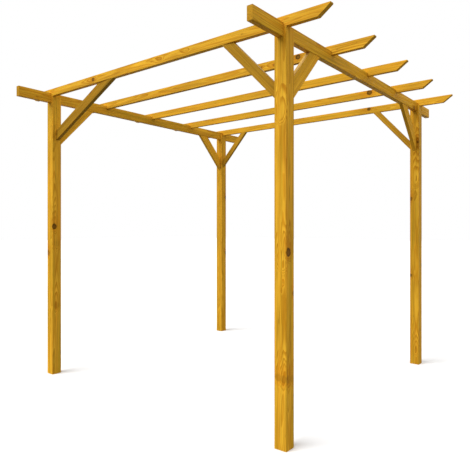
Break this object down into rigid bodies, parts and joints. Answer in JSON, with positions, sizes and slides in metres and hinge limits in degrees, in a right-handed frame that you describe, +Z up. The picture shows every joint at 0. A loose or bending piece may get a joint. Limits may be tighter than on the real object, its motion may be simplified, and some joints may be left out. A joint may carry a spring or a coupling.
{
  "type": "wooden garden pergola",
  "caption": "Free-standing square wooden pergola with slotted posts, side beams, notched rafters with sniped ends, and knee braces.",
  "frame": {"origin": "on the ground, midway between the four posts", "axes": "+Z up; X along the beams; Y along the rafters; front is -Y and left is -X"},
  "size_m": [2.683, 2.752, 2.256],
  "materials": {
    "post_timber": "honey-gold stained softwood, satin",
    "beam_timber": "honey-gold stained softwood, satin",
    "rafter_timber": "honey-gold stained softwood, satin",
    "brace_timber": "honey-gold stained softwood, satin"
  },
  "bodies": {
    "root": {"beam_back": "beam_timber", "beam_brace_back_left": "brace_timber", "beam_brace_back_right": "brace_timber", "beam_brace_front_left": "brace_timber", "beam_brace_front_right": "brace_timber", "beam_front": "beam_timber", "post_back_left": "post_timber", "post_back_right": "post_timber", "post_front_left": "post_timber", "post_front_right": "post_timber", "rafter_1": "rafter_timber", "rafter_2": "rafter_timber", "rafter_3": "rafter_timber", "rafter_4": "rafter_timber", "rafter_5": "rafter_timber", "rafter_brace_back_left": "brace_timber", "rafter_brace_back_right": "brace_timber", "rafter_brace_front_left": "brace_timber", "rafter_brace_front_right": "brace_timber"}
  },
  "joints": []
}
